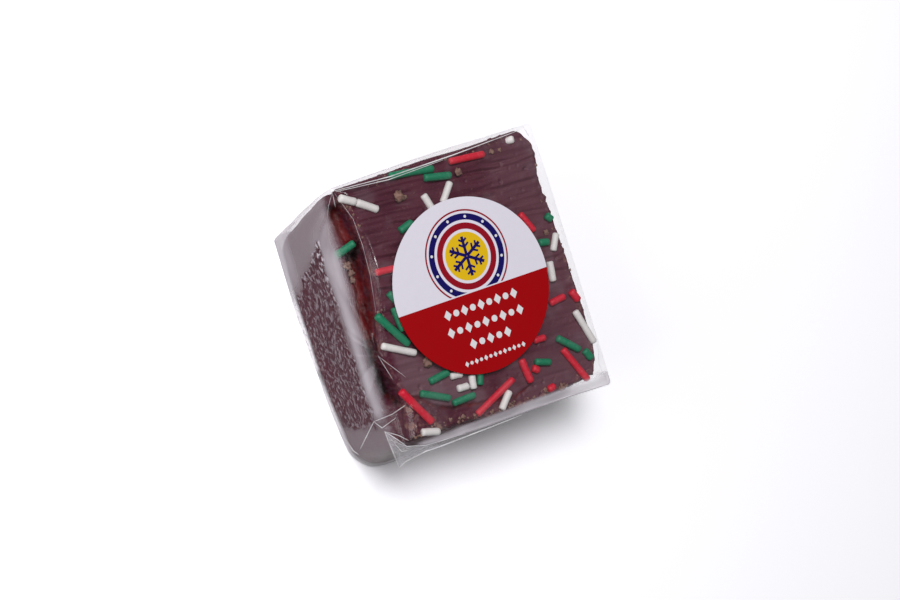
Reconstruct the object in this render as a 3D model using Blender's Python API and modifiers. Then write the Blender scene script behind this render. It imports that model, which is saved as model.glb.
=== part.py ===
"""Chocolate fudge in clear film: a hand-cut block, wrapped and closed with a round paper label.

X runs along the block's short side, Y along its long side and Z up. The knife went down at a slant,
so the base lies towards -X and -Y of the top. The whole stands on its flat base.
"""

import math

import bmesh
import bpy
from mathutils import Vector

MM = 0.001

# Outline of the wrapped block at its base and at its top, measured from the middle of the top.
# Keys are (side along X, side along Y).
BASE_CORNERS = {(-1, -1): (-31.0, -36.2), (1, -1): (28.6, -37.2), (1, 1): (27.6, 26.2), (-1, 1): (-34.2, 25.2)}
TOP_CORNERS = {(-1, -1): (-29.2, -32.8), (1, -1): (31.0, -34.4), (1, 1): (29.6, 33.6), (-1, 1): (-29.2, 32.2)}
HEIGHT = 27.6
RIM_DROP = 0.8  # how much lower the top's rim is than its middle, which the sprinkles hold up

# Where the block or its film swells: how far, in mm, at the middle of the swelling.
LEFT_SWELL = 1.0
BACK_RIM_SWELL = 2.0
FRONT_FOOT_SWELL = 1.6
FRONT_FOOT_PLACE = -0.7

# The form's rounding: its control lines stand this far out, as a share of half its width.
EDGE_LINE = 0.86
ROUNDING_LEVELS = 2

# The film's loose ear at the front left corner, as its root, tip and two ends on the wrap.
EAR_ROOT = (-22.0, -28.0, 15.0)
EAR_SIDE_END = (-27.6, -28.6, 15.5)
EAR_FRONT_END = (-13.0, -31.2, 24.6)
EAR_TIP = (-25.2, -37.4, 13.0)

# The round label, a gap above the wrap.
LABEL_DIAMETER = 42.3
LABEL_THICKNESS = 0.2
LABEL_GAP = 0.3
LABEL_CENTRE = (-0.2, 0.2)
LABEL_SEGMENTS = 64


def new_material(name, colour, roughness, alpha=1.0):
    """Makes a Principled material with the part's own colour and finish."""
    material = bpy.data.materials.new(name)
    material.use_nodes = True
    shader = material.node_tree.nodes["Principled BSDF"]
    shader.inputs["Base Color"].default_value = (*colour, 1.0)
    shader.inputs["Roughness"].default_value = roughness
    shader.inputs["Metallic"].default_value = 0.0
    shader.inputs["Alpha"].default_value = alpha
    return material


def object_from(name, mesh_builder, material, collection):
    """Turns a finished bmesh into a named object with its material."""
    mesh = bpy.data.meshes.new(name)
    mesh_builder.to_mesh(mesh)
    mesh_builder.free()
    mesh.materials.append(material)
    item = bpy.data.objects.new(name, mesh)
    collection.objects.link(item)
    return item


def blend_corners(corners, u, v):
    """Point of a four-cornered outline at u along X and v along Y, each from -1 to 1."""
    point = Vector((0.0, 0.0))
    for (side_x, side_y), place in corners.items():
        share = (1 + side_x * u) * (1 + side_y * v) / 4
        point += share * Vector(place)
    return point


def hump(value, centre, width):
    """Smooth bump of height 1 at centre that falls to 0 at width to either side."""
    distance = min(abs(value - centre) / width, 1.0)
    return 0.5 * (1 + math.cos(math.pi * distance))


def wrapped_point(u, v, w):
    """Place of the wrap's surface for a point of the unit cube, w running up from -1 to 1."""
    rise = (w + 1) / 2
    flat = blend_corners(BASE_CORNERS, u, v).lerp(blend_corners(TOP_CORNERS, u, v), rise)
    flat.x -= LEFT_SWELL * hump(v, 0, 1) * max(-u, 0)
    flat.y += BACK_RIM_SWELL * hump(u, 0, 1) * max(v, 0) * rise
    flat.y -= FRONT_FOOT_SWELL * hump(u, FRONT_FOOT_PLACE, 0.7) * max(-v, 0) * (1 - rise)
    on_rim = max(abs(u), abs(v)) == 1 and w == 1
    return Vector((flat.x, flat.y, HEIGHT * rise - RIM_DROP * on_rim)) * MM


def make_wrap(material, collection):
    """The wrapped block: a cage of control lines along its edges, rounded by subdivision."""
    cage = bmesh.new()
    bmesh.ops.create_cube(cage, size=2)
    bmesh.ops.subdivide_edges(cage, edges=cage.edges, cuts=3, use_grid_fill=True)
    lines = {-1.0: -1.0, -0.5: -EDGE_LINE, 0.0: 0.0, 0.5: EDGE_LINE, 1.0: 1.0}
    for vertex in cage.verts:
        u, v, w = (lines[round(value, 3)] for value in vertex.co)
        vertex.co = wrapped_point(u, v, w)
    wrap = object_from("film_pack", cage, material, collection)
    rounding = wrap.modifiers.new("rounding", "SUBSURF")
    rounding.levels = ROUNDING_LEVELS
    rounding.render_levels = ROUNDING_LEVELS
    return wrap


def make_ear(material, collection):
    """The loose fold of film at a corner: a thin three-sided point standing off the wrap."""
    fold = bmesh.new()
    bmesh.ops.create_cone(fold, cap_ends=True, segments=3, radius1=1, radius2=0, depth=1)
    tip = max(fold.verts, key=lambda vertex: vertex.co.z)
    ends = sorted((v for v in fold.verts if v is not tip), key=lambda v: math.atan2(v.co.y, v.co.x))
    for vertex, place in zip(ends, (EAR_ROOT, EAR_SIDE_END, EAR_FRONT_END)):
        vertex.co = Vector(place) * MM
    tip.co = Vector(EAR_TIP) * MM
    bmesh.ops.recalc_face_normals(fold, faces=fold.faces)
    return object_from("ear_shape", fold, material, collection)


def make_label(material, collection):
    """The round paper label, flat above the wrap's top."""
    disc = bmesh.new()
    bmesh.ops.create_cone(
        disc,
        cap_ends=True,
        segments=LABEL_SEGMENTS,
        radius1=LABEL_DIAMETER / 2 * MM,
        radius2=LABEL_DIAMETER / 2 * MM,
        depth=LABEL_THICKNESS * MM,
    )
    height = HEIGHT + LABEL_GAP + LABEL_THICKNESS / 2
    bmesh.ops.translate(disc, verts=disc.verts, vec=Vector((*LABEL_CENTRE, height)) * MM)
    return object_from("label", disc, material, collection)


def stand_on_origin(shown, shapes, collection):
    """Ties all to an empty and moves it, so that the middle of the whole's underside is at the origin."""
    graph = bpy.context.evaluated_depsgraph_get()
    points = [vertex.co for item in shown for vertex in item.evaluated_get(graph).data.vertices]
    low = Vector(min(point[axis] for point in points) for axis in range(3))
    high = Vector(max(point[axis] for point in points) for axis in range(3))
    whole = bpy.data.objects.new("whole", None)
    collection.objects.link(whole)
    for item in shown + shapes:
        item.parent = whole
    whole.location = -Vector(((low.x + high.x) / 2, (low.y + high.y) / 2, low.z))


def main():
    for item in list(bpy.data.objects):
        bpy.data.objects.remove(item)

    pieces = bpy.data.collections.new("chocolate_fudge")
    shapes = bpy.data.collections.new("joining_shapes")
    for collection in (pieces, shapes):
        bpy.context.scene.collection.children.link(collection)

    film = new_material("film", (0.13, 0.075, 0.08), 0.25)
    paper = new_material("label_paper", (0.6, 0.03, 0.05), 0.5)

    wrap = make_wrap(film, pieces)
    ear = make_ear(film, shapes)
    ear.hide_render = True
    ear.display_type = "WIRE"
    joining = wrap.modifiers.new("ear", "BOOLEAN")
    joining.operation = "UNION"
    joining.object = ear
    label = make_label(paper, pieces)

    stand_on_origin([wrap, label], [ear], pieces)


main()
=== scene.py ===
import math
import random

import bmesh
import bpy
import numpy as np
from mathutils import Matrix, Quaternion, Vector, noise


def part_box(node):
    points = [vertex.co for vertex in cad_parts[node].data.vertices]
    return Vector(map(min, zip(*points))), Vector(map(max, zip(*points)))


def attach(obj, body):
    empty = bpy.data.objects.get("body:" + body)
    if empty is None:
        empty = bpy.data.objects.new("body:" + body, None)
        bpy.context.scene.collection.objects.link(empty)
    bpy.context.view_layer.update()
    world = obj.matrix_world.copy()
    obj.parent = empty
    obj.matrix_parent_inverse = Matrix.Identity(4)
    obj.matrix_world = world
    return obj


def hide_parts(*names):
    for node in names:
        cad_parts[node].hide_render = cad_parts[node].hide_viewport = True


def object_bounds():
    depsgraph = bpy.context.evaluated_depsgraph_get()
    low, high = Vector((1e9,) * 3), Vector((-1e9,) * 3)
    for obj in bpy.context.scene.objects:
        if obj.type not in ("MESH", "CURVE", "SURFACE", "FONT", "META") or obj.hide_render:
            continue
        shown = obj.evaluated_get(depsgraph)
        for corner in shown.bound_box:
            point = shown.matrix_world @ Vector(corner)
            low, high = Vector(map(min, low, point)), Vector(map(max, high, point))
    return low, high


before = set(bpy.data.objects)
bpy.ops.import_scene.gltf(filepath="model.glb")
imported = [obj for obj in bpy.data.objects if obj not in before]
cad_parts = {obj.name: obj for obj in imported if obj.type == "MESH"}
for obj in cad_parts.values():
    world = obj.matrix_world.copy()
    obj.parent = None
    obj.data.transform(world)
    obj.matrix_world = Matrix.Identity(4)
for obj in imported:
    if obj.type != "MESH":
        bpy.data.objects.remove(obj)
cad_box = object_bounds()

# ---------------------------------------------------------------------------------------------
# Studio. A white sweep under large soft lamps: the main one high behind the block, a second on
# its left that brings out the film. The camera looks down on the pack from the left.
# ---------------------------------------------------------------------------------------------
MM = 0.001
LABEL_OFF_MIDDLE = Vector((-0.2, 0.2, 0))
label_low, label_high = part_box("label")
block_middle = (label_low + label_high) / 2 - LABEL_OFF_MIDDLE * MM
block_middle.z = 0


def at(x, y, z):
    """A place given in mm from the table under the middle of the block's top, as the frame has it."""
    return block_middle + Vector((x, y, z)) * MM


CAMERA_PLACE = (-241, 42, 469)
CAMERA_AIM = (-6, -1.6, 26)
CAMERA_ROLL = 82.9
camera_data = bpy.data.cameras.new("camera")
camera_data.lens = 85
camera_data.sensor_width = 36
camera_data.clip_start = 0.01
camera = bpy.data.objects.new("camera", camera_data)
bpy.context.scene.collection.objects.link(camera)
bpy.context.scene.camera = camera
line_of_sight = at(*CAMERA_AIM) - at(*CAMERA_PLACE)
roll = Quaternion((0, 0, 1), math.radians(CAMERA_ROLL))
camera.location = at(*CAMERA_PLACE)
camera.rotation_euler = (line_of_sight.to_track_quat("-Z", "Y") @ roll).to_euler()

bpy.context.scene.view_settings.view_transform = "Standard"


class Socket:
    """A value in a material's nodes, which sums and products read like plain numbers."""

    def __init__(self, tree, socket=None):
        self.tree = tree
        self.socket = socket

    def node(self, kind, settings=None, inputs=None, output=0):
        """Adds a node, sets its settings and then its inputs, and gives the output asked for."""
        made = self.tree.nodes.new(kind)
        for name, value in (settings or {}).items():
            setattr(made, name, value)
        for name, value in (inputs or {}).items():
            if isinstance(value, Socket):
                self.tree.links.new(value.socket, made.inputs[name])
            else:
                made.inputs[name].default_value = value
        return Socket(self.tree, made.outputs[output])

    def maths(self, operation, first, second=0.0):
        return self.node("ShaderNodeMath", {"operation": operation}, {0: first, 1: second})

    def blend(self, factor, first, second):
        """Mixes two colours by a factor from 0 to 1."""
        return self.node("ShaderNodeMix", {"data_type": "RGBA"}, {0: factor, 6: first, 7: second}, output=2)

    def __add__(self, other):
        return self.maths("ADD", self, other)

    def __rsub__(self, other):
        return self.maths("SUBTRACT", other, self)

    def __mul__(self, other):
        return self.maths("MULTIPLY", self, other)

    def __truediv__(self, other):
        return self.maths("DIVIDE", self, other)

    def __pow__(self, other):
        return self.maths("POWER", self, other)

    __radd__ = __add__
    __rmul__ = __mul__


def new_material(name):
    """A material with an empty tree but for its output. Returns it and the start of its maths."""
    material = bpy.data.materials.new(name)
    material.use_nodes = True
    tree = material.node_tree
    tree.nodes.clear()
    tree.nodes.new("ShaderNodeOutputMaterial")
    return material, Socket(tree)


def finish_material(start, shader):
    """Links a shader to the material's output."""
    start.tree.links.new(shader.socket, start.tree.nodes["Material Output"].inputs["Surface"])


def linear(red, green, blue):
    """A colour named by its 0 to 255 levels, as the light that shows it."""
    levels = [level / 255 for level in (red, green, blue)]
    lights = [c / 12.92 if c <= 0.04045 else ((c + 0.055) / 1.055) ** 2.4 for c in levels]
    return (*lights, 1.0)


FLOOR_SIZE = 3.0
FLOOR_SHOWN, FLOOR_LIT = 1.45, 0.8  # how white the floor is to the eye, and as it lights the pack
FLOOR_TINT = (1, 0.99, 1.03)
floor_mesh = bmesh.new()
bmesh.ops.create_grid(floor_mesh, x_segments=1, y_segments=1, size=FLOOR_SIZE / 2)
floor_data = bpy.data.meshes.new("floor")
floor_mesh.to_mesh(floor_data)
floor_mesh.free()
floor = bpy.data.objects.new("floor", floor_data)
bpy.context.scene.collection.objects.link(floor)
floor_material, start = new_material("white_sweep")
camera_ray = start.node("ShaderNodeLightPath", output="Is Camera Ray")
transmission_ray = start.node("ShaderNodeLightPath", output="Is Transmission Ray")
seen = start.maths("MAXIMUM", camera_ray, transmission_ray)
shown_white = (*(FLOOR_SHOWN * share for share in FLOOR_TINT), 1)
white = start.blend(seen, (FLOOR_LIT, FLOOR_LIT, FLOOR_LIT, 1), shown_white)
finish_material(start, start.node("ShaderNodeBsdfDiffuse", inputs={"Color": white}))
floor_data.materials.append(floor_material)

WORLD_LIGHT = 0.13
world = bpy.data.worlds.new("studio")
world.use_nodes = True
bpy.context.scene.world = world
world.node_tree.nodes.clear()
start = Socket(world.node_tree)
camera_ray = start.node("ShaderNodeLightPath", output="Is Camera Ray")
strength = WORLD_LIGHT + (1 - WORLD_LIGHT) * camera_ray
sky = start.node("ShaderNodeBackground", inputs={"Color": (1, 1, 1, 1), "Strength": strength})
world_output = start.tree.nodes.new("ShaderNodeOutputWorld")
start.tree.links.new(sky.socket, world_output.inputs["Surface"])


def add_lamp(name, place, aim, size, power):
    """A square soft lamp in mm, turned to shine at its aim."""
    data = bpy.data.lights.new(name, "AREA")
    data.shape = "SQUARE"
    data.size = size * MM
    data.energy = power
    lamp = bpy.data.objects.new(name, data)
    bpy.context.scene.collection.objects.link(lamp)
    lamp.location = at(*place)
    lamp.rotation_euler = (at(*aim) - at(*place)).to_track_quat("-Z", "Y").to_euler()


add_lamp("main_lamp", (-150, 290, 720), (0, 0, 10), 310, 4.15)
add_lamp("left_lamp", (-620, 120, 300), (0, 0, 10), 460, 1.2)

# ---------------------------------------------------------------------------------------------
# Fudge block. Chocolate fudge poured in a tray and cut by hand, so the knife's slant shows in its
# sides. Its top is combed with drag lines, its rim is crumbly and its left rim has broken away.
# ---------------------------------------------------------------------------------------------
BLOCK_TOP = 26.0
# Each side's line at the top and at the base: (place along the side from -1 to 1, how far out).
LEFT_RIM = (
    (-1, -26.6), (-0.66, -25.2), (-0.45, -26.4), (-0.27, -27.2), (0.03, -25.4), (0.32, -24.0),
    (0.53, -23.8), (0.69, -24.2), (0.84, -25.2), (1, -27.0),
)
RIGHT_RIM = ((-1, 27.0), (-0.8, 28.9), (-0.3, 28.8), (0.3, 27.8), (0.6, 27.1), (0.84, 28.1), (1, 25.0))
FRONT_RIM = (
    (-1, -30.0), (-0.5, -30.2), (-0.2, -31.0), (0.1, -31.5), (0.45, -31.3), (0.75, -31.0), (1, -30.3),
)
BACK_RIM = ((-1, 31.3), (-0.5, 31.5), (-0.05, 31.9), (0.4, 31.8), (0.85, 32.2), (1, 32.3))
LEFT_FOOT = ((-1, -29.8), (-0.7, -31.2), (-0.1, -32.7), (0.4, -33.1), (1, -33.0))
RIGHT_FOOT = ((-1, 25.5), (1, 26.0))
FRONT_FOOT = ((-1, -35.2), (-0.75, -36.9), (-0.4, -36.6), (1, -36.0))
BACK_FOOT = ((-1, 24.0), (1, 25.0))
FLANK_TOP = -28.5  # how far out the left side starts again below the broken rim
# The crack along the left rim, for places down the wall: how far out it lies and how deep.
CRACK_OUT = ((0, 0.0), (1.5, 0.2), (2.2, 0.9), (3.0, 1.8), (3.8, 2.7), (5.0, 3.7), (7, 5.2))
CRACK_DOWN = ((0, 0.0), (1.5, 4.4), (2.2, 5.6), (3.0, 5.2), (3.8, 4.0), (5.0, 4.4), (7, 6.4))
# The smeared top layer ends near the front in a dark crevice: its y for places along X.
CREVICE = (
    (-25, -19.2), (-21.1, -21.1), (-17.8, -24.0), (-12.9, -26.1), (-9.7, -26.5), (-6.5, -27.3),
    (-1.6, -27.9), (3.3, -28.7), (7.1, -27.9), (11, -27.3),
)
TOP_CORNER, FOOT_CORNER = 0.035, 0.17  # how far in a corner's rounding starts, as a share of the side
FOOT_ROUNDING = 0.9
FOOT_GAP = 0.3  # between the block's base and the table, for the film
HALF_WIDTH, HALF_LENGTH = 29, 31.5
BROKEN_CORNER = (-25.5, -28)  # the middle of the crumbled corner at the front left


def through(points, t):
    """Height at t of a smooth curve through (place, height) points."""
    t = min(max(t, points[0][0]), points[-1][0])
    index = next(i for i in range(len(points) - 1) if t <= points[i + 1][0])

    def slope(i):
        low, high = points[max(i - 1, 0)], points[min(i + 1, len(points) - 1)]
        return (high[1] - low[1]) / (high[0] - low[0])

    (t0, h0), (t1, h1) = points[index : index + 2]
    width = t1 - t0
    s = (t - t0) / width
    ends = (1 + 2 * s) * (1 - s) ** 2 * h0 + s * s * (3 - 2 * s) * h1
    return ends + s * (1 - s) * width * ((1 - s) * slope(index) - s * slope(index + 1))


def eased(value, low, high):
    """0 below low, 1 above high, and a smooth step between them."""
    s = min(max((value - low) / (high - low), 0.0), 1.0)
    return s * s * (3 - 2 * s)


def rounded(u, v, share):
    """Draws the corners of the square from -1 to 1 in to quarter circles that start at share."""
    a = max(abs(u) - 1 + share, 0.0) / share
    b = max(abs(v) - 1 + share, 0.0) / share
    if a == 0 or b == 0:
        return u, v
    pull = max(a, b) / math.hypot(a, b)
    return (
        math.copysign(1 - share + share * a * pull, u),
        math.copysign(1 - share + share * b * pull, v),
    )


def lay_between(low_x, high_x, low_y, high_y, u, v):
    """The point at u, v between two sides in X and two in Y."""
    return low_x + (high_x - low_x) * (u + 1) / 2, low_y + (high_y - low_y) * (v + 1) / 2


def crumble(x, y, z, size, seed):
    """Uneven field from about -1 to 1, with lumps of that size in mm."""
    return noise.noise(Vector((x / size + seed, y / size, z / size)))


def comb_lines(x, y):
    """Height of the lines that the knife dragged across the top, in mm."""
    wander = y + 0.9 * crumble(x, y, 0, 16, 3) + 0.05 * x
    strong = 0.3 + 0.7 * eased(y, -16, 6)
    wide = noise.noise(Vector((x * 0.035, wander * 0.55, 7)))
    fine = noise.noise(Vector((x * 0.06, wander * 1.5, 11)))
    torn = max(noise.noise(Vector((x * 0.11, wander * 0.9, 19))) - 0.12, 0)
    return strong * (0.34 * wide + 0.3 * fine - 1.2 * torn)


def behind_crevice(x, y):
    """How far a place on the top lies behind the crevice's ragged line, in mm."""
    return y - through(CREVICE, x) + 0.5 * crumble(x, y, 0, 1.6, 8)


def crack_share(v):
    """How open the crack is along the left side: shut at both ends and nearly so at its pinch."""
    open_share = eased(v, -0.72, -0.6) * (1 - eased(v, 0.84, 0.92))
    return open_share * (1 - 0.5 * math.exp(-(((v + 0.27) / 0.1) ** 2)))


def block_plan(u, v, depth):
    """Place in plan of the block's side line at a depth, or of its top between them at depth 0."""
    share = depth / BLOCK_TOP
    corner = TOP_CORNER + (FOOT_CORNER - TOP_CORNER) * eased(share, 0.1, 1)
    u, v = rounded(u, v, corner)
    left_top = through(LEFT_RIM, v)
    flank = FLANK_TOP + (through(LEFT_FOOT, v) - FLANK_TOP) * share
    left = left_top + (flank - left_top) * eased(depth, 0.5, 5)
    broken = left_top - through(CRACK_OUT, depth)
    broken += (flank - broken) * eased(depth, 4.6, 7)
    left += (broken - left) * crack_share(v)
    right = through(RIGHT_RIM, v) + (through(RIGHT_FOOT, v) - through(RIGHT_RIM, v)) * share
    front = through(FRONT_RIM, u) + (through(FRONT_FOOT, u) - through(FRONT_RIM, u)) * share
    back = through(BACK_RIM, u) + (through(BACK_FOOT, u) - through(BACK_RIM, u)) * share
    return lay_between(left, right, front, back, u, v)


def grid_block(columns, rows, depths, place):
    """A top of columns by rows with walls in rings under its rim, closed below. place sets each point."""
    block = bmesh.new()
    bmesh.ops.create_grid(block, x_segments=columns, y_segments=rows, size=1)
    ring = [edge for edge in block.edges if edge.is_boundary]
    for depth in depths:
        made = bmesh.ops.extrude_edge_only(block, edges=ring)["geom"]
        for vertex in (item for item in made if isinstance(item, bmesh.types.BMVert)):
            vertex.co.z = -depth
        ring = [item for item in made if isinstance(item, bmesh.types.BMEdge) and item.is_boundary]
    bmesh.ops.contextual_create(block, geom=ring)
    for vertex in block.verts:
        vertex.co = place(vertex.co.x, vertex.co.y, -vertex.co.z)
    bmesh.ops.recalc_face_normals(block, faces=block.faces)
    return block


def new_piece(name, shape, materials, smooth=True):
    """A finished piece from its bmesh, smooth shaded, riding on the pack."""
    mesh = bpy.data.meshes.new(name)
    shape.to_mesh(mesh)
    shape.free()
    for material in materials:
        mesh.materials.append(material)
    if smooth:
        mesh.shade_smooth()
    piece = bpy.data.objects.new(name, mesh)
    bpy.context.scene.collection.objects.link(piece)
    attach(piece, "root")
    return piece


def fudge_point(u, v, depth):
    """Place of a point of the fudge's surface."""
    x, y = block_plan(u, v, depth)
    rim = min(1 - abs(u), 1 - abs(v)) * HALF_WIDTH  # distance from the rim
    broken_corner = eased(10 - math.hypot(x - BROKEN_CORNER[0], y - BROKEN_CORNER[1]), 0, 7)
    rounding = 0.9 + 0.5 * crumble(x, y, 0, 3, 1) + 0.8 * broken_corner
    if depth == 0:
        inside = min(rim / rounding, 1.0)
        z = BLOCK_TOP - rounding * (1 - math.sqrt(1 - (1 - inside) ** 2))
        z += comb_lines(x, y) * eased(rim, 0, 2.5) + 0.22 * crumble(x, y, 0, 11, 5)
        behind = behind_crevice(x, y)
        split = eased(x, -25.5, -23.5) * (1 - eased(x, 7, 10))
        z -= split * (0.5 * math.exp(-((behind / 0.4) ** 2)) + 0.2 * eased(-behind, 0, 0.6))
        rough = 1 - eased(rim, 0.4, 2.6)
        z += (0.35 * rough + 0.5 * broken_corner) * crumble(x, y, 0, 1.1, 2)
        pit = max(crumble(x, y, 0, 1.3, 31) - 0.52, 0)
        return at(x, y, z - 2.2 * pit)
    z = BLOCK_TOP - rounding - depth * (BLOCK_TOP - rounding - FOOT_GAP) / BLOCK_TOP
    if depth < 7:
        deep = BLOCK_TOP - rounding - through(CRACK_DOWN, depth) * (1 + 0.25 * crumble(0, y, depth, 4, 61))
        z += (deep - z) * crack_share(v) * eased(-u, 0.96, 1) * (1 - eased(depth, 5, 7))
    tuck = FOOT_ROUNDING * (1 - math.sqrt(1 - eased(depth, BLOCK_TOP - 2.2, BLOCK_TOP) ** 2 * 0.98))
    rough = 1 - eased(depth, 1.5, 5)
    out = (0.45 + 0.4 * eased(u, 0.9, 1)) * rough * crumble(x, y, z, 1.7, 2)
    out += 0.3 * rough * crumble(x, y, z, 0.6, 9)
    out += 0.25 * crumble(x, y, z, 7, 4) - tuck
    side_x, side_y = (math.copysign(eased(abs(value), 0.9, 1), value) for value in (u, v))
    return at(x + out * side_x, y + out * side_y, z)


# The walls' rings lie close together at the broken rim and again where the foot rounds off.
wall_depths = [0.25 * step for step in range(1, 29)] + [7.5, 8] + [9 + step for step in range(0, 15)]
wall_depths += [23.9, 24.4, 24.9, 25.3, 25.6, 25.8, 25.95, 26.0]
fudge_shape = grid_block(190, 210, wall_depths, fudge_point)


def step(values, low, high):
    """0 where the values are below low, 1 above high and smooth between, for a whole array."""
    s = np.clip((values - low) / (high - low), 0, 1)
    return s * s * (3 - 2 * s)


def ridge(values, middle, width):
    """1 at the middle, falling to 0 at a width or so to either side, for a whole array."""
    return np.exp(-(((values - middle) / width) ** 2))


def places_of(shape):
    """X, Y and Z of a bmesh's points in mm from the table under the middle of the block's top."""
    return ((np.array([vertex.co for vertex in shape.verts]) - np.array(block_middle)) / MM).T


def paint(shape, name, values):
    """Stores a value for each point of a bmesh, for its material to read."""
    layer = shape.verts.layers.float.new(name)
    for vertex, value in zip(shape.verts, values):
        vertex[layer] = value


# Where painted shade darkens the fudge in the crack's hollow and along the crevice, and where its cut rim
# is rubbed to pale crumb.
block_x, block_y, block_z = places_of(fudge_shape)
rim_x = np.array([through(LEFT_RIM, y / HALF_LENGTH) for y in block_y])
crack_reach = 3.6 - 1.7 * step(-block_y, 0, 9)
crack_shade = step(rim_x - block_x, -0.1, 0.3) * step(block_x - rim_x + crack_reach, 0, 1.3)
crack_shade *= step(-block_z, -25.6, -24.2)
crack_shade *= step(block_y, -22.5, -20) * step(-block_y, -29, -27)
behind = np.array([behind_crevice(x, y) for x, y in zip(block_x, block_y)])
split = step(block_x, -25.5, -23.5) * step(-block_x, -10, -7) * step(block_z, 24.6, 25)
# The crevice along the top's front gets the same painted shade.
crack_shade = np.maximum(crack_shade, 0.9 * split * ridge(behind, 0, 0.38))
# Where the top is coloured lighter and greyish: behind the crevice, and towards the right.
greyer_top = split * step(behind, 0.2, 0.9) * step(-behind - 0.2 * block_x, -11, -5) * step(-block_x, 0, 10)
at_right = np.maximum(0.5 * step(block_x, 6, 22), 0.7 * step(block_x, -2, 12) * step(-block_y, 18, 24))
greyer_top = np.maximum(greyer_top, at_right * step(block_z, 24, 25))
rubbed = np.maximum(step(-block_y, 28.6, 31.4), step(block_x, 26.2, 28.2))
rubbed = np.maximum(rubbed, 0.7 * step(rim_x + 1.6 - block_x, 0, 1.6)) * step(block_z, 22.5, 25.2)
rubbed = np.maximum(rubbed, step(11 - np.hypot(block_x + 25, block_y + 28), 0, 5) * step(block_z, 20, 24))
paint(fudge_shape, "crack_shade", crack_shade)
paint(fudge_shape, "rubbed", rubbed)
paint(fudge_shape, "greyer_top", greyer_top)

fudge_material, start = new_material("chocolate_fudge")
places = start.node("ShaderNodeTexCoord", output="Object")
patches = start.node("ShaderNodeTexNoise", inputs={"Vector": places, "Scale": 140.0, "Detail": 3.0})
grain = start.node("ShaderNodeTexNoise", inputs={"Vector": places, "Scale": 1500.0, "Detail": 4.0})
mixed = start.blend(patches, linear(66, 13, 36), linear(96, 34, 55))
# Lighter, greyish colour over the top behind the crevice and towards the right.
greyer_top_level = start.node("ShaderNodeAttribute", {"attribute_name": "greyer_top"}, output="Fac")
mixed = start.blend(greyer_top_level * 0.5, mixed, linear(126, 96, 106))
sugar = start.node(
    "ShaderNodeMapRange", inputs={0: grain, "From Min": 0.62, "From Max": 0.75, "To Max": 0.5}
)
mixed = start.blend(sugar, mixed, linear(120, 84, 76))
rub_level = start.node("ShaderNodeAttribute", {"attribute_name": "rubbed"}, output="Fac")
crumb = start.node(
    "ShaderNodeTexNoise", inputs={"Vector": places, "Scale": 420.0, "Detail": 5.0, "Roughness": 0.7}
)
torn = start.node(
    "ShaderNodeMapRange", inputs={0: crumb, "From Min": 0.5, "From Max": 0.66, "To Max": 0.85}
)
mixed = start.blend(torn * rub_level, mixed, linear(150, 108, 96))
# Painted shade in the crack and the crevice: the fudge's colour goes to dark red and black there.
crack_shade_level = start.node("ShaderNodeAttribute", {"attribute_name": "crack_shade"}, output="Fac")
shade = start.node("ShaderNodeMapRange", inputs={0: patches, "From Min": 0.42, "From Max": 0.58})
deep = start.blend(shade, linear(24, 0, 2), linear(104, 3, 6))
mixed = start.blend(crack_shade_level * 0.97, mixed, deep)
roughened = grain + 1.7 * crumb * rub_level
relief = start.node("ShaderNodeBump", inputs={"Strength": 0.2, "Distance": 0.0003, "Height": roughened})
finish_material(
    start,
    start.node(
        "ShaderNodeBsdfPrincipled",
        inputs={
            "Base Color": mixed,
            "Roughness": 0.42 + 0.25 * patches,
            "Normal": relief,
            "Specular IOR Level": 0.32,
            "Subsurface Weight": 0.05,
            "Subsurface Radius": (0.6, 0.3, 0.2),
            "Subsurface Scale": 0.0015,
        },
    ),
)
new_piece("fudge_block", fudge_shape, [fudge_material])

# ---------------------------------------------------------------------------------------------
# Sprinkles. Extruded sugar strands in red, green and white, snapped to short lengths and pressed
# into the warm fudge. Each colour is one piece.
# ---------------------------------------------------------------------------------------------
STRAND_RADIUS = 0.9
STRAND_LIE = 26.45  # height of a strand's middle where it lies on the top
# Each strand: x and y of its middle, its length in mm and its direction in degrees.
WHITE_STRANDS = (
    (-24.6, 28.2, 4.4, -28), (-20.2, 25.5, 5.8, -33), (-4.5, 22, 4.5, -73), (1, 23, 5.5, 51),
    (26, 3.5, 4.5, 60), (22.7, -3, 5, 83), (27.4, -18.5, 9.5, -72), (-22.9, -8.6, 9, -28),
    (-10.4, -18.9, 3.2, -5), (-9.5, -22.2, 3.1, -4), (-6.6, -21.8, 3.4, 81), (0.6, -28.7, 5, 47),
    (-21, -29.5, 4.8, -16),
)
GREEN_STRANDS = (
    (-6.6, 29.9, 12, -6), (-0.2, 27.2, 7.3, -10), (-12, 18.2, 4, 17), (-20.4, 3, 4, -63),
    (-20.8, -1.9, 6, -84), (-23, -3.8, 10.8, -56), (-14.8, -17.9, 5.6, 7), (-17.3, -21.8, 8, -26),
    (-10.2, -24.9, 6.3, 1), (-4.4, -21.5, 3.5, 71), (22.8, 4.3, 3, -9), (26.2, 9.7, 2, -50),
    (21.6, -21.1, 7, -42), (26.2, -25.2, 3, -64), (13.3, -23.1, 4.4, -18),
)
RED_STRANDS = (
    (8.8, 29.4, 9.8, -4), (19.8, 10.2, 5.8, -64), (-19.8, 9.8, 6.5, -5), (22.1, -10.1, 4.7, 6),
    (27.2, -10.5, 3.3, -65), (14.2, -17.6, 3.4, -3), (8.2, -23.7, 6.2, -82), (10.9, -24.2, 2, -37),
    (21.9, -26.5, 10.3, -65), (-1.9, -27, 13, 23), (-22.7, -22.7, 11.3, -59), (13.6, -29.8, 2, 12),
)
# Two that lie otherwise: middle, length, direction in degrees and how steeply it rises.
SUNK_GREEN = ((-27.2, 17.3, 22.9), 4.9, 22, 0.62)  # it fell in where the rim broke away
END_WHITE = ((21.7, 30.4, 25.6), 2.2, 0, 1.45)  # it stands on end
SNAP_FACE, SNAP_ROUNDING = 0.02, 0.3  # how far from a strand's end its flat face and its body start
SNAP_SHARE = 0.72  # the face's size as a share of the body's


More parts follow.
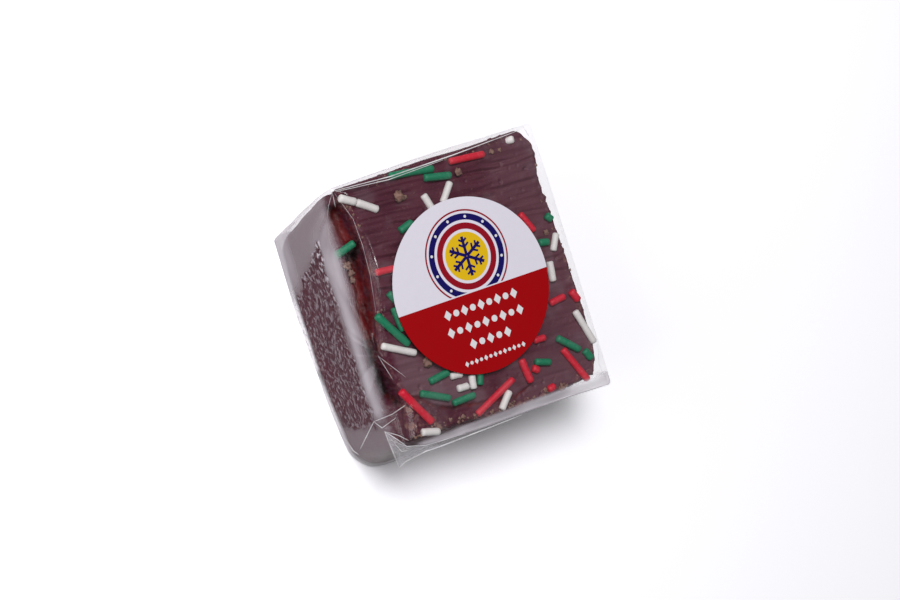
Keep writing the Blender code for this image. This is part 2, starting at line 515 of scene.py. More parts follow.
def add_strand(shape, points, radii, sides):
    """A round strand through the points, as thick at each as its radius says, with closed ends."""
    start_way = (points[1] - points[0]).normalized()
    turn = Vector((0, 0, 1)).rotation_difference(start_way)
    ring_verts = bmesh.ops.create_circle(shape, cap_ends=True, segments=sides, radius=radii[0])["verts"]
    for vertex in ring_verts:
        vertex.co = turn @ vertex.co + points[0]
    ring = [edge for edge in shape.edges if edge.verts[0] in ring_verts and edge.verts[1] in ring_verts]
    way = start_way
    for index in range(1, len(points)):
        made = bmesh.ops.extrude_edge_only(shape, edges=ring)["geom"]
        ring_verts = [item for item in made if isinstance(item, bmesh.types.BMVert)]
        ring = [item for item in made if isinstance(item, bmesh.types.BMEdge) and item.is_boundary]
        next_way = (points[min(index + 1, len(points) - 1)] - points[index - 1]).normalized()
        turn = way.rotation_difference(next_way)
        grow = radii[index] / radii[index - 1]
        for vertex in ring_verts:
            vertex.co = points[index] + turn @ (vertex.co - points[index - 1]) * grow
        way = next_way
    bmesh.ops.contextual_create(shape, geom=ring)


def strand_points(middle, length, direction, tilt, steps):
    """Points along a snapped strand, a little bent, with its ends' rounding."""
    way = Vector((math.cos(direction), math.sin(direction), math.sin(tilt)))
    side = Vector((-way.y, way.x, 0))
    shares = [-0.5 + SNAP_FACE / length, -0.5 + SNAP_ROUNDING / length]
    shares += [-0.5 + (i + 1) / (steps + 1) for i in range(steps)]
    shares += [0.5 - SNAP_ROUNDING / length, 0.5 - SNAP_FACE / length]
    bend = random.uniform(-0.012, 0.012) * length
    return [at(*(middle + way * length * s + side * bend * (1 - 4 * s * s))) for s in shares]


def strand_radii(steps):
    """Radii of a strand at its points: snapped ends, rounded at the rim, and an uneven body."""
    size = STRAND_RADIUS * random.uniform(0.93, 1.05)
    body = [size * random.uniform(0.97, 1.03) for _ in range(steps + 2)]
    return [MM * radius for radius in (size * SNAP_SHARE, *body, size * SNAP_SHARE)]


def make_strands(name, strands, others, colour):
    """All strands of one colour as one piece: those on the top, and others that lie otherwise."""
    shape = bmesh.new()
    laid = [
        ((x, y, STRAND_LIE + random.uniform(-0.12, 0.12)), length, angle, 0.0)
        for x, y, length, angle in strands
    ]
    for middle, length, angle, rise in laid + others:
        steps = max(2, round(length))
        rise += random.uniform(-0.03, 0.03)
        points = strand_points(Vector(middle), length, math.radians(angle), rise, steps)
        add_strand(shape, points, strand_radii(steps), 20)
    bmesh.ops.recalc_face_normals(shape, faces=shape.faces)
    for vertex in shape.verts:
        chalk = noise.noise(vertex.co / MM * 1.6) * 0.045 * MM
        vertex.co += vertex.normal * chalk
    material, start = new_material(name)
    places = start.node("ShaderNodeTexCoord", output="Object")
    chalk = start.node("ShaderNodeTexNoise", inputs={"Vector": places, "Scale": 1400.0, "Detail": 3.0})
    worn = tuple(0.88 * level + 0.12 * 0.6 for level in colour[:3]) + (1.0,)
    wear = start.node(
        "ShaderNodeMapRange", inputs={0: chalk, "From Min": 0.52, "From Max": 0.75, "To Max": 0.6}
    )
    dye = start.blend(wear, colour, worn)
    relief = start.node("ShaderNodeBump", inputs={"Strength": 0.3, "Distance": 0.0001, "Height": chalk})
    finish_material(
        start,
        start.node(
            "ShaderNodeBsdfPrincipled",
            inputs={"Base Color": dye, "Roughness": 0.45 + 0.2 * chalk, "Normal": relief},
        ),
    )
    return new_piece(name, shape, [material])


random.seed(4)
make_strands("sprinkles_white", WHITE_STRANDS, [END_WHITE], linear(232, 227, 226))
make_strands("sprinkles_green", GREEN_STRANDS, [SUNK_GREEN], linear(4, 124, 88))
make_strands("sprinkles_red", RED_STRANDS, [], linear(212, 12, 48))

# ---------------------------------------------------------------------------------------------
# Crumbs. Bits of fudge that broke off as it was cut: a few large ones on the top, and small ones
# along the rim and in the broken left edge. They lie loose under the film.
# ---------------------------------------------------------------------------------------------
# Each large crumb: x, y and z of its middle and its size in mm.
LARGE_CRUMBS = (
    (-11.4, 25.4, 26.5, 2.3), (5.6, 26.7, 26.4, 1.7), (15.9, 29.1, 26.3, 1.2), (18.4, 28.9, 26.2, 0.9),
    (24.4, 6.4, 26.4, 1.2), (-16.4, -13.6, 26.5, 2.4), (16.6, -30.6, 26.1, 1.6), (-27.2, 13.4, 22.0, 1.8),
    (-27.0, 9.9, 21.8, 1.3), (-26.7, 11.6, 21.8, 1.5), (-9.8, 24.8, 26.3, 0.9), (12.0, -29.8, 26.2, 1.0),
    (-18.4, -29.4, 26.0, 1.3),
)
RIM_CRUMBS = 170
crumb_shape = bmesh.new()


def add_crumb(middle, size):
    """One rough lump of that size, flatter than wide."""
    lump = bmesh.ops.create_icosphere(crumb_shape, subdivisions=3, radius=size / 2)["verts"]
    seed = random.uniform(0, 100)
    for vertex in lump:
        rough = 1 + 0.8 * noise.noise(vertex.co * (2.2 / size) + Vector((seed, 0, 0)))
        rough += 0.5 * noise.noise(vertex.co * (5 / size) + Vector((seed, 5, 0)))
        rough += 0.35 * noise.noise(vertex.co * (11 / size) + Vector((seed, 9, 0)))
        vertex.co = at(*(middle + Vector((vertex.co.x, vertex.co.y, vertex.co.z * 0.5)) * rough))


for x, y, z, size in LARGE_CRUMBS:
    add_crumb(Vector((x, y, z)), size)
for _ in range(RIM_CRUMBS):
    along = random.uniform(-1, 1)
    inward = random.uniform(0.5, 2.5)
    side = random.choice(("front", "front", "front", "left", "right", "back"))
    u, v = {"front": (along, -1), "back": (along, 1), "left": (-1, along), "right": (1, along)}[side]
    x, y = block_plan(u, v, 0)
    place = Vector((x - u * inward * 0.7, y - v * inward * 0.7, BLOCK_TOP - 0.1))
    add_crumb(place, random.uniform(0.25, 0.8))
bmesh.ops.recalc_face_normals(crumb_shape, faces=crumb_shape.faces)
crumb_material, start = new_material("fudge_crumb")
places = start.node("ShaderNodeTexCoord", output="Object")
grain = start.node("ShaderNodeTexNoise", inputs={"Vector": places, "Scale": 900.0, "Detail": 4.0})
crumb_colour = start.blend(grain, linear(84, 48, 44), linear(168, 132, 118))
relief = start.node("ShaderNodeBump", inputs={"Strength": 0.5, "Distance": 0.0002, "Height": grain})
finish_material(
    start,
    start.node(
        "ShaderNodeBsdfPrincipled",
        inputs={"Base Color": crumb_colour, "Roughness": 0.6 + 0.2 * grain, "Normal": relief},
    ),
)
new_piece("crumbs", crumb_shape, [crumb_material])

# ---------------------------------------------------------------------------------------------
# Film. One sheet of clear film round the block, tight over the sprinkles and the top's rim. It
# stands off the sides, and gathers in sharp creases at the corners and along the back.
# ---------------------------------------------------------------------------------------------
FILM_LIFT = 0.3  # between the block's top and the film
FILM_RIM_DROP = 0.1  # how far its rim lies under the block's top
FILM_LEFT_RIM = (
    (-1, -27.8), (-0.66, -25.7), (-0.45, -27.2), (-0.27, -28.2), (0.03, -25.9), (0.32, -24.5),
    (0.53, -24.2), (0.69, -24.6), (0.84, -25.6), (1, -27.8),
)
FILM_RIGHT_RIM = ((-1, 30.6), (0.0, 29.9), (1, 28.9))
FILM_FRONT_RIM = ((-1, -30.9), (-0.75, -32.1), (-0.4, -32.9), (0.3, -33.3), (1, -34.2))
FILM_BACK_RIM = ((-1, 31.8), (-0.5, 32.5), (0.1, 33.0), (1, 33.0))
FILM_SHOULDER = ((-1, -29.6), (-0.7, -30.4), (0.4, -30.7), (1, -30.4))  # its left side's upper bulge
SHOULDER_DEPTH = 4.5
FILM_LEFT_FOOT = ((-1, -30.0), (-0.7, -31.6), (-0.1, -33.0), (0.4, -33.7), (1, -34.2))
FILM_RIGHT_FOOT = ((-1, 28.0), (1, 27.0))
FILM_FRONT_FOOT = ((-1, -35.6), (-0.75, -37.4), (-0.4, -37.1), (1, -36.6))
FILM_BACK_FOOT = ((-1, 24.3), (1, 25.6))
FILM_FOOT = 0.06  # its underside's height
FILM_TOP_CORNER = 0.03  # where a corner's rounding starts, as a share of the side
FILM_FRONT_CORNER, FILM_BACK_CORNER = 0.13, 0.06  # how much more of the side it takes at the foot
LABEL_UNDERSIDE = 27.6
LABEL_RADIUS = 21.15
top_strands = np.array(WHITE_STRANDS + GREEN_STRANDS + RED_STRANDS)
strand_middles = top_strands[:, :2]
strand_halves = top_strands[:, 2] / 2
strand_turns = np.radians(top_strands[:, 3])
strand_ways = np.stack((np.cos(strand_turns), np.sin(strand_turns)), axis=1)


def film_height(x, y):
    """Height of the film over the top: over the strands and up to the label, and down between them."""
    gap = np.array((x, y)) - strand_middles
    along = np.clip((gap * strand_ways).sum(1), -strand_halves, strand_halves)
    away = np.hypot(*(gap - along[:, None] * strand_ways).T)
    near = np.exp(-((np.maximum(away - 0.6, 0) / 4.2) ** 2))
    over_strands = min(1.22 * (near**5).sum() ** 0.2, 1.26)
    off_label = max(math.hypot(x - LABEL_OFF_MIDDLE.x, y - LABEL_OFF_MIDDLE.y) - LABEL_RADIUS + 0.4, 0)
    over_label = (LABEL_UNDERSIDE - BLOCK_TOP - FILM_LIFT) * math.exp(-((off_label / 7.0) ** 2))
    return BLOCK_TOP + FILM_LIFT + max(over_strands, over_label)


def film_point(u, v, depth):
    """Place of a point of the film."""
    share = depth / BLOCK_TOP
    foot_corner = FILM_FRONT_CORNER if v < 0 else FILM_BACK_CORNER
    u, v = rounded(u, v, FILM_TOP_CORNER + foot_corner * eased(share, 0.1, 1))
    rim, shoulder, foot = (through(line, v) for line in (FILM_LEFT_RIM, FILM_SHOULDER, FILM_LEFT_FOOT))
    if depth < SHOULDER_DEPTH:
        left = rim + (shoulder - rim) * (depth / SHOULDER_DEPTH) ** 0.5
    else:
        below = (depth - SHOULDER_DEPTH) / (BLOCK_TOP - SHOULDER_DEPTH)
        left = shoulder + (foot - shoulder) * below**0.85
    right = through(FILM_RIGHT_RIM, v) + (through(FILM_RIGHT_FOOT, v) - through(FILM_RIGHT_RIM, v)) * share
    front = through(FILM_FRONT_RIM, u) + (through(FILM_FRONT_FOOT, u) - through(FILM_FRONT_RIM, u)) * share
    back = through(FILM_BACK_RIM, u) + (through(FILM_BACK_FOOT, u) - through(FILM_BACK_RIM, u)) * share
    x, y = lay_between(left, right, front, back, u, v)
    top = BLOCK_TOP - FILM_RIM_DROP
    if depth == 0:
        inward = min(1 - abs(u), 1 - abs(v)) * HALF_WIDTH
        return at(x, y, top + (film_height(x, y) - top) * eased(inward, 0, 2.2))
    return at(x, y, top - share * (top - FILM_FOOT))


film_depths = [0.04, 0.12, 0.25, 0.42, 0.65] + [0.45 * step for step in range(2, 57)] + [25.9, 26.0]
film_shape = grid_block(170, 190, film_depths, film_point)
film_shape.normal_update()

# Each crease: its two ends in mm, how far it stands out there and its half width.
CREASES = (
    ((-28.3, -8.5, 26), (-24.0, -18.5, 26.6), 0.5, 0.8),
    ((-28.3, -8.5, 26), (-21.0, -14.0, 27), 0.4, 0.8),
    ((-28.3, -8.5, 26), (-17.0, -18.5, 27), 0.3, 0.9),
    ((-28.3, -8.5, 26), (-31.6, -24.0, 14), 0.5, 1.0),
    ((-28.3, -8.5, 26), (-30.2, 12.0, 21), 0.5, 1.3),
    ((-27.5, 31.0, 26), (25.0, 31.6, 26), 0.3, 0.45),
    ((-27.5, 31.4, 25.6), (25.0, 33.0, 25.6), -0.35, 0.45),
    ((-27.5, 31.4, 25.2), (-30.5, 14.0, 19), 0.4, 1.2),
    ((-27.5, 31.4, 26), (-16.0, 26.5, 27), 0.3, 0.8),
    ((-28.6, -31.6, 25), (-20.0, -25.5, 27), 0.4, 0.7),
    ((-28.6, -31.6, 25), (-16.0, -30.0, 26.8), 0.3, 0.7),
)
FILM_INSET = 0.05 * MM  # how far inside the pack's own box the film stays
skin = places_of(film_shape).T
outward = np.array([vertex.normal for vertex in film_shape.verts])
lift = np.zeros(len(skin))
for first, last, height, width in CREASES:
    first, last = np.array(first), np.array(last)
    run = last - first
    share = np.clip(((skin - first) @ run) / (run @ run), 0, 1)
    away = np.linalg.norm(skin - first - share[:, None] * run, axis=1)
    lift += height * np.maximum(1 - away / width, 0) * np.sin(np.pi * (0.12 + 0.76 * share))
ripples = np.array([crumble(*place, 5.0, 40) + 0.4 * crumble(*place, 2.0, 50) for place in skin])
on_side = np.clip((26.0 - skin[:, 2]) / 4, 0, 1)
lift += ripples * (0.02 + 0.1 * on_side)
for vertex, place, normal, height in zip(film_shape.verts, skin, outward, lift):
    moved = place + normal * height
    place = at(moved[0], moved[1], max(moved[2], FILM_FOOT))
    for axis in (0, 1):
        low, high = cad_box[0][axis] + FILM_INSET, cad_box[1][axis] - FILM_INSET
        place[axis] = min(max(place[axis], low), high)
    vertex.co = place


# How milky the film looks at each point, and where it lies on the fudge and looks clear in streaks.
skin_x, skin_y, skin_z = skin.T
on_left = step(-skin_x, 28.6, 29.9) * step(-skin_z, -25.4, -24)
milk = 0.004 + 0.03 * step(ripples, 0.1, 0.7) * step(skin_x, -25, -23.5)
# Fans of pale pleats spread down the left side from the film's pinches at the rim.
PINCHES = ((30.5, 20), (-8.5, 14), (-26, 9))  # each pinch's y and how far its fan reaches
for pinch_y, reach in PINCHES:
    turn = np.arctan2(skin_y - pinch_y, 27.5 - skin_z)
    pleats = np.array([noise.noise(Vector((angle * 5.5, pinch_y, 0))) for angle in turn])
    far = np.hypot(skin_y - pinch_y, 26.5 - skin_z)
    milk += 0.16 * on_left * step(pleats, -0.05, 0.45) * step(-far, -reach, -reach / 4)
milk += on_left * (0.065 + 0.15 * step(skin_y - 0.7 * skin_z, 4, 10) + 0.1 * step(-skin_y, 24, 27))
milk += 0.13 * step(-skin_z, -20, -14) * step(-skin_y, 29, 32) * step(-skin_x, 12, 20) * (1 - on_left)
milk += on_left * 0.16 * step(-skin_z, -8, -4) * step(skin_y, 6, 18)
# It is whitest along its shoulder and in the front left corner, and over the ledge at the front, where the
# whitish veil is painted reflection.
shoulder_band = ridge(skin_z, 21.0, 1.9 + 1.5 * step(skin_y, 2, 18))
milk += on_left * 0.41 * shoulder_band * step(-skin_y, -25, -14) * step(skin_y, -25, -21)
# Painted reflection: the whitish veil over the front ledge stands in for the light the film mirrors there.
ledge = step(-skin_y, 30.4, 31.4) * step(skin_x, -26, -23) * (0.8 + 0.2 * step(-skin_x, -27, -8))
milk += 0.55 * ledge * (0.15 + 0.85 * step(skin_z, 19, 25))
wobble = np.array([
    crumble(0, y, z, 3.2, 70) + 0.5 * crumble(0, y, z, 1.2, 80) for y, z in zip(skin_y, skin_z)
])
touching = on_left * step(6.5 + 0.7 * skin_z - skin_y + 3 * wobble, -0.6, 0.6)
touching *= step(18.6 - skin_z + 1.6 * wobble, -0.5, 0.8) * step(skin_y + 25 + 2 * wobble, -0.8, 0.8)
touching *= step(skin_z - 3.5 + 0.2 * skin_y + 2 * wobble, -6, -4)
# It is clear over the crack as well.
over_crack = step(skin_x, -29.2, -28.4) * step(-skin_x, 23.2, 24.2) * step(skin_z, 22.6, 23.6)
touching = np.maximum(touching, over_crack * step(-skin_y, -29, -27) * step(skin_y, -23, -21))
paint(film_shape, "milk", milk)
paint(film_shape, "touching", touching)

film_material, start = new_material("clear_film")
FILM_MIRROR, GRAZING_MIRROR = 0.02, 0.42  # what one face mirrors, and how much more from the side
facing = start.node("ShaderNodeLayerWeight", inputs={"Blend": 0.5}, output="Facing")
one_face = FILM_MIRROR + GRAZING_MIRROR * facing**5
both_faces = 2 * one_face / (1 + one_face)
clear = start.node("ShaderNodeBsdfTransparent", inputs={"Color": (0.99, 0.99, 0.99, 1)})
gloss = start.node("ShaderNodeBsdfGlossy", inputs={"Color": (1, 1, 1, 1), "Roughness": 0.16})
milk_level = start.node("ShaderNodeAttribute", {"attribute_name": "milk"}, output="Fac")
touch_level = start.node("ShaderNodeAttribute", {"attribute_name": "touching"}, output="Fac")
places = start.node("ShaderNodeTexCoord", output="Object")
drawn = start.node("ShaderNodeVectorMath", {"operation": "MULTIPLY"}, {0: places, 1: (1.0, 0.5, 1.0)})
smear = start.node(
    "ShaderNodeTexNoise", inputs={"Vector": drawn, "Scale": 1700.0, "Detail": 3.0, "Distortion": 0.5}
)
streaks = start.node(
    "ShaderNodeMapRange", inputs={0: smear, "From Min": 0.5, "From Max": 0.62, "To Max": 3.2}
)
haze = milk_level * (1 - touch_level * (1 - streaks))
veil = start.node("ShaderNodeBsdfDiffuse", inputs={"Color": (0.95, 0.88, 0.97, 1)})
mirrored = both_faces * (1 - 0.75 * touch_level)
shown = start.node("ShaderNodeMixShader", inputs={0: mirrored, 1: clear, 2: gloss})
finish_material(start, start.node("ShaderNodeMixShader", inputs={0: haze, 1: shown, 2: veil}))
film = new_piece("film", film_shape, [film_material])
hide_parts("film_pack")

# ---------------------------------------------------------------------------------------------
# Film's loose ear and folds. At the front left corner the film's end stands out as a pleated ear.
# Where the film is folded or gathered it doubles up in thin lines, coloured whitish as painted highlights.
# ---------------------------------------------------------------------------------------------
# The ear's upper and lower edges, from its outer end to where they meet on the wrap.
EAR_UPPER = (
    (0, (-30.8, -26.1, 23)), (0.45, (-27.4, -30.8, 25)),
    (0.75, (-22.7, -32.2, 25.6)), (1, (-19, -33.5, 25.7)),
)
EAR_LOWER = (
    (0, (-27, -36.3, 17)), (0.3, (-25.7, -35.2, 19)),
    (0.75, (-22.4, -33.8, 23.8)), (1, (-19, -33.7, 25.3)),
)
EAR_COLUMNS, EAR_ROWS = 48, 24


def along_line(line, t):
    """The point at t of a smooth curve through (place, point) pairs."""
    return Vector(through([(place, point[axis]) for place, point in line], t) for axis in range(3))


ear_shape = bmesh.new()
bmesh.ops.create_grid(ear_shape, x_segments=EAR_COLUMNS, y_segments=EAR_ROWS, size=0.5)
for vertex in ear_shape.verts:
    across, down = vertex.co.x + 0.5, vertex.co.y + 0.5
    place = along_line(EAR_UPPER, across).lerp(along_line(EAR_LOWER, across), down)
    pleat = math.sin(math.pi * min(1, 6 * across) * down) * math.sin(across * 26 + 3 * down)
    vertex.co = at(*(place + Vector((-0.7, -0.2, 0.7)) * 0.16 * pleat * (1 - across)))
bmesh.ops.solidify(ear_shape, geom=ear_shape.faces[:], thickness=0.05 * MM)

ear_material, start = new_material("pleated_film")
facing = start.node("ShaderNodeLayerWeight", inputs={"Blend": 0.5}, output="Facing")
sheen = 0.06 + 0.5 * facing**4
places = start.node("ShaderNodeTexCoord", output="Object")
cloud = start.node("ShaderNodeTexNoise", inputs={"Vector": places, "Scale": 500.0, "Detail": 2.0})
clear = start.node("ShaderNodeBsdfTransparent", inputs={"Color": (0.95, 0.94, 0.96, 1)})
gloss = start.node("ShaderNodeBsdfGlossy", inputs={"Color": (1, 1, 1, 1), "Roughness": 0.16})
# The ear's pale veil is painted reflection of the light on the film, patchy by the cloud noise.
veil = start.node("ShaderNodeBsdfDiffuse", inputs={"Color": (0.9, 0.88, 0.93, 1)})
shown = start.node("ShaderNodeMixShader", inputs={0: sheen, 1: clear, 2: gloss})
finish_material(start, start.node("ShaderNodeMixShader", inputs={0: 0.1 + 0.24 * cloud, 1: shown, 2: veil}))
new_piece("film_ear", ear_shape, [ear_material])

# Each fold: its half width in mm and the points that it runs through.
FOLDS = (
    (0.16, ((-30.8, -26.1, 23), (-28.9, -31.2, 20), (-27, -36.3, 17))),
    (0.16, ((-27, -36.3, 17), (-25.7, -35.2, 19), (-22.4, -33.8, 23.8), (-19, -33.7, 25.4),
            (-6, -33.6, 25.8), (4, -33.5, 25.9))),
    (0.09, ((-30, -28.3, 22), (-27.4, -30.9, 25), (-22.7, -32.2, 25.7), (-12.0, -32.8, 26))),
    (0.1, ((-30.8, -26.1, 23), (-29, -28.6, 24.3), (-27.4, -30.8, 25))),
    (0.07, ((-30.8, -26.1, 23), (-28.6, -27.8, 25), (-26.8, -29.7, 25.8))),
    (0.07, ((-30.6, -26.4, 22.8), (-27.8, -32, 22.4), (-25.6, -32.4, 23.6))),
    (0.05, ((-29.6, -29.6, 21), (-26.4, -31.8, 24), (-23.6, -32.8, 24.6))),
    (0.12, ((-33.0, -29.6, 12.0), (-31.6, -23.4, 20.5))),
    (0.1, ((-31.6, -23.4, 20.5), (-28.6, -22.6, 25.0), (-25.6, -21.4, 26.9))),
    (0.08, ((-31.6, -23.4, 20.5), (-30.9, -25.2, 22.4), (-28.2, -23.6, 25.6))),
    (0.09, ((-33.4, -26.8, 6.0), (-32.4, -30.4, 6.4), (-31.6, -31.6, 7.0))),
    (0.05, ((-28.3, -8.6, 26.1), (-26.6, -15.0, 26.6))),
    (0.05, ((-28.3, -8.6, 26.1), (-23.6, -15.2, 27.3))),
    (0.15, ((-27.4, 31.1, 26.6), (-12.8, 30.5, 27.5), (4.9, 31.0, 27.5), (24.4, 32.0, 26.9))),
    (0.1, ((-27.0, 30.8, 26.6), (-13.3, 29.9, 27.5), (2.0, 30.6, 27.5))),
    (0.06, ((-27.4, 31.9, 26.1), (-14.0, 32.3, 26.1), (6.0, 32.8, 26.1))),
    (0.035, ((-27.2, 30.6, 26.2), (-26.2, 27.7, 26.4), (-24.6, 23.6, 26.4), (-24.2, 17.0, 26.4),
             (-24.5, 10.0, 26.4), (-25.8, 1.5, 26.4))),
    (0.05, ((-27.6, 30.9, 26.0), (-28.8, 28.0, 24.4), (-29.6, 24.6, 22.8))),
    (0.06, ((-27.6, 30.9, 26.0), (-27.4, 27.4, 25.0))),
    (0.08, ((26.4, 32.6, 26.4), (27.4, 30.0, 26.3))),
    (0.05, ((29.9, -34.0, 25.9), (28.6, -28.6, 26.2), (29.9, -24.0, 26.0))),
    (0.09, ((10, -33.1, 25.9), (22, -33.4, 26.0), (30, -34.1, 25.9))),
)
fold_shape = bmesh.new()
for half_width, points in FOLDS:
    places = [at(*points[0])]
    for first, last in zip(points, points[1:]):
        places += [at(*Vector(first).lerp(Vector(last), share / 6)) for share in range(1, 7)]
    count = len(places)
    swell = [math.sin(math.pi * (index + 0.5) / count) for index in range(count)]
    add_strand(fold_shape, places, [half_width * MM * (0.35 + 0.65 * share) for share in swell], 6)
bmesh.ops.recalc_face_normals(fold_shape, faces=fold_shape.faces)
# The folds' whitish colour is painted highlight, broken up along each fold.
fold_material, start = new_material("painted_fold_highlight")
veil = start.node("ShaderNodeBsdfDiffuse", inputs={"Color": (0.95, 0.94, 0.97, 1)})
clear = start.node("ShaderNodeBsdfTransparent", inputs={"Color": (0.98, 0.98, 0.98, 1)})
places = start.node("ShaderNodeTexCoord", output="Object")
broken = start.node("ShaderNodeTexNoise", inputs={"Vector": places, "Scale": 260.0, "Detail": 2.0})
highlight_share = start.node(
    "ShaderNodeMapRange",
    inputs={0: broken, "From Min": 0.3, "From Max": 0.65, "To Min": 0.35, "To Max": 0.95},
)
finish_material(start, start.node("ShaderNodeMixShader", inputs={0: highlight_share, 1: clear, 2: veil}))
new_piece("film_folds", fold_shape, [fold_material])

# ---------------------------------------------------------------------------------------------
# Label. A round coated paper label, stuck to the film over the sprinkles. It is printed in plain
# fields and small ornaments: white above, red below, and a ringed snowflake across the two.
# ---------------------------------------------------------------------------------------------
PAPER_TOP = label_high.z / MM - 0.08
PAPER_THICKNESS = 0.15
FIELD_LINE = -1.6  # where red meets white, in mm from the label's middle
INK_LIFT = 0.02
paper_shape = bmesh.new()
bmesh.ops.create_circle(paper_shape, cap_ends=True, segments=128, radius=LABEL_RADIUS)
bmesh.ops.bisect_plane(
    paper_shape,
    geom=paper_shape.verts[:] + paper_shape.edges[:] + paper_shape.faces[:],
    plane_co=(0, FIELD_LINE, 0),
    plane_no=(0, 1, 0),
)
for face in paper_shape.faces:
    face.material_index = int(face.calc_center_median().y < FIELD_LINE)
bmesh.ops.solidify(paper_shape, geom=paper_shape.faces[:], thickness=PAPER_THICKNESS)


def lay_on_label(shape, height):
    """Moves a flat shape in mm round its own middle to that height over the label's middle."""
    for vertex in shape.verts:
        vertex.co = at(*(vertex.co + LABEL_OFF_MIDDLE + Vector((0, 0, height))))


def ink_material(name, colour, roughness):
    """Coated paper or ink: even colour with a faint mottle in its gloss."""
    material, start = new_material(name)
    places = start.node("ShaderNodeTexCoord", output="Object")
    mottle = start.node("ShaderNodeTexNoise", inputs={"Vector": places, "Scale": 700.0, "Detail": 2.0})
    deeper = tuple(level * 0.96 for level in colour[:3]) + (1.0,)
    tint = start.blend(mottle, colour, deeper)
    finish_material(
        start,
        start.node(
            "ShaderNodeBsdfPrincipled",
            inputs={"Base Color": tint, "Roughness": roughness + 0.1 * mottle, "Specular IOR Level": 0.15},
        ),
    )
    return material


lay_on_label(paper_shape, PAPER_TOP)
white_paper = ink_material("label_white", linear(234, 229, 242), 0.4)
red_paper = ink_material("label_red", linear(166, 0, 8), 0.4)
label = new_piece("label_sheet", paper_shape, [white_paper, red_paper], smooth=False)
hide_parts("label")

RING_MIDDLE = Vector((0.8, 7.0, 0))
print_shape = bmesh.new()
WHITE_INK, NAVY_INK, RED_INK, YELLOW_INK = range(4)
RINGS = ((11.2, 0.4, RED_INK), (10.2, 1.5, NAVY_INK), (8.0, 1.5, RED_INK))  # outer radius, width, ink
DISC_DIAMETER = 11.6
ARM_LENGTH, ARM_WIDTH = 4.7, 0.75
BARBS = ((2.2, 1.6), (3.5, 1.3))  # how far out on an arm, and its length
BARB_WIDTH, BARB_ANGLE = 0.5, 55
DOT_COUNT, DOT_CIRCLE, DOT_DIAMETER = 12, 9.45, 0.7


def add_ring(middle, radius, width, ink, layer):
    """A flat ring of that outer radius, cut off just above the red field."""
    made = bmesh.ops.create_circle(print_shape, segments=96, radius=radius)["verts"]
    bmesh.ops.translate(print_shape, verts=made, vec=middle + Vector((0, 0, layer * INK_LIFT)))
    rim = [edge for edge in print_shape.edges if edge.verts[0] in made and edge.verts[1] in made]
    inner = bmesh.ops.extrude_edge_only(print_shape, edges=rim)["geom"]
    for vertex in (item for item in inner if isinstance(item, bmesh.types.BMVert)):
        flat = (vertex.co - middle) * (1 - width / radius)
        vertex.co.xy = (middle + flat).xy
    faces = [item for item in inner if isinstance(item, bmesh.types.BMFace)]
    for face in faces:
        face.material_index = ink
    edges = {edge for face in faces for edge in face.edges}
    verts = {vertex for face in faces for vertex in face.verts}
    bmesh.ops.bisect_plane(
        print_shape,
        geom=[*verts, *edges, *faces],
        plane_co=(0, FIELD_LINE + 0.3, 0),
        plane_no=(0, 1, 0),
        clear_inner=True,
    )


def add_mark(middle, width, height, corners, ink, layer):
    """A flat mark of that width and height: round if it has many corners, a lozenge if it has four."""
    made = bmesh.ops.create_circle(print_shape, cap_ends=True, segments=corners, radius=0.5)["verts"]
    for vertex in made:
        vertex.co = middle + Vector((vertex.co.x * width, vertex.co.y * height, 0))
        vertex.co.z = layer * INK_LIFT
    for face in {face for vertex in made for face in vertex.link_faces}:
        face.material_index = ink


def add_bar(middle, length, width, turn, ink, layer):
    """A flat straight bar that points along turn from its middle."""
    made = bmesh.ops.create_grid(print_shape, x_segments=1, y_segments=1, size=0.5)["verts"]
    turned = Quaternion((0, 0, 1), turn)
    for vertex in made:
        vertex.co = middle + turned @ Vector((vertex.co.x * length, vertex.co.y * width, 0))
        vertex.co.z = layer * INK_LIFT
    for face in {face for vertex in made for face in vertex.link_faces}:
        face.material_index = ink


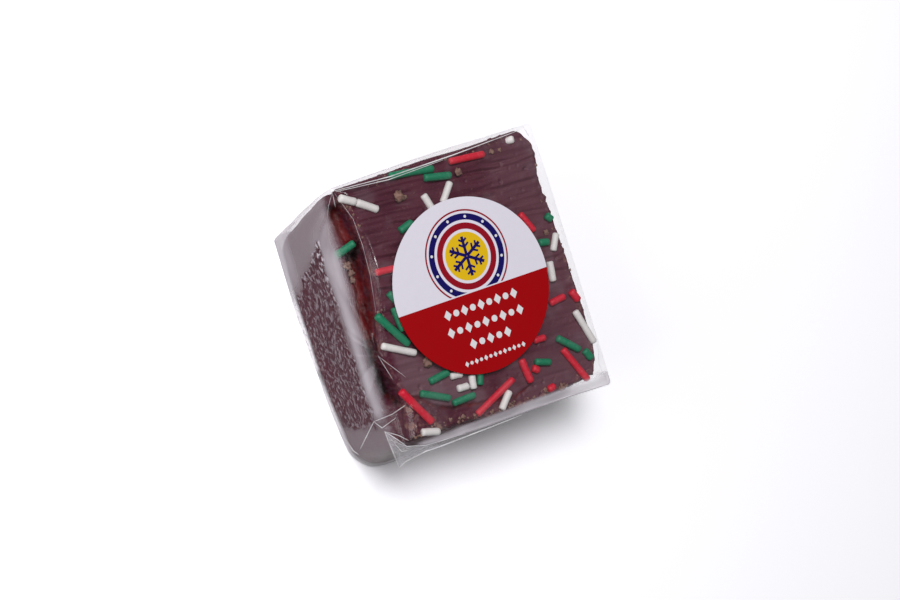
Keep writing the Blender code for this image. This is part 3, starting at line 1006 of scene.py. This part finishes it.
for radius, width, ink in RINGS:
    add_ring(RING_MIDDLE, radius, width, ink, 1)
add_mark(RING_MIDDLE, DISC_DIAMETER, DISC_DIAMETER, 64, YELLOW_INK, 1)
# The snowflake's arms lie on a layer each, with the barbs just under them, so none share a plane.
for arm in range(6):
    turn = math.radians(60 * arm + 30)
    way = Vector((math.cos(turn), math.sin(turn), 0))
    add_bar(RING_MIDDLE + way * 2.45, ARM_LENGTH, ARM_WIDTH, turn, NAVY_INK, 2 + arm / 10)
    for side in (-1, 1):
        barb = turn + side * math.radians(BARB_ANGLE)
        barb_way = Vector((math.cos(barb), math.sin(barb), 0))
        for out, length in BARBS:
            middle = RING_MIDDLE + way * out + barb_way * length / 2
            add_bar(middle, length, BARB_WIDTH, barb, NAVY_INK, 1.8 + out / 50)
for dot in range(DOT_COUNT):
    turn = math.radians(360 / DOT_COUNT * (dot + 0.5))
    middle = RING_MIDDLE + Vector((math.cos(turn), math.sin(turn), 0)) * DOT_CIRCLE
    if middle.y > FIELD_LINE + 1:
        add_mark(middle, DOT_DIAMETER, DOT_DIAMETER, 16, WHITE_INK, 2)
# Rows of small marks on the red: y of the row, how many, their pitch and their height.
PRINT_ROWS = ((-5.0, 9, 2.35, 2.6), (-9.2, 9, 2.45, 2.6), (-13.3, 5, 2.45, 2.6), (-17.4, 13, 1.35, 1.4))
for y, count, pitch, height in PRINT_ROWS:
    for index in range(count):
        middle = Vector((RING_MIDDLE.x + (index - (count - 1) / 2) * pitch, y, 0))
        if index % 2:
            add_mark(middle, height * 0.62, height * 0.62, 24, WHITE_INK, 1)
        else:
            add_mark(middle, height * 0.78, height, 4, WHITE_INK, 1)
bmesh.ops.solidify(print_shape, geom=print_shape.faces[:], thickness=0.01)
lay_on_label(print_shape, PAPER_TOP)
inks = [
    ink_material("ink_white", linear(232, 232, 236), 0.4),
    ink_material("ink_navy", linear(20, 14, 96), 0.4),
    ink_material("ink_red", linear(150, 14, 34), 0.4),
    ink_material("ink_yellow", linear(236, 192, 24), 0.4),
]
new_piece("label_print", print_shape, inks, smooth=False)
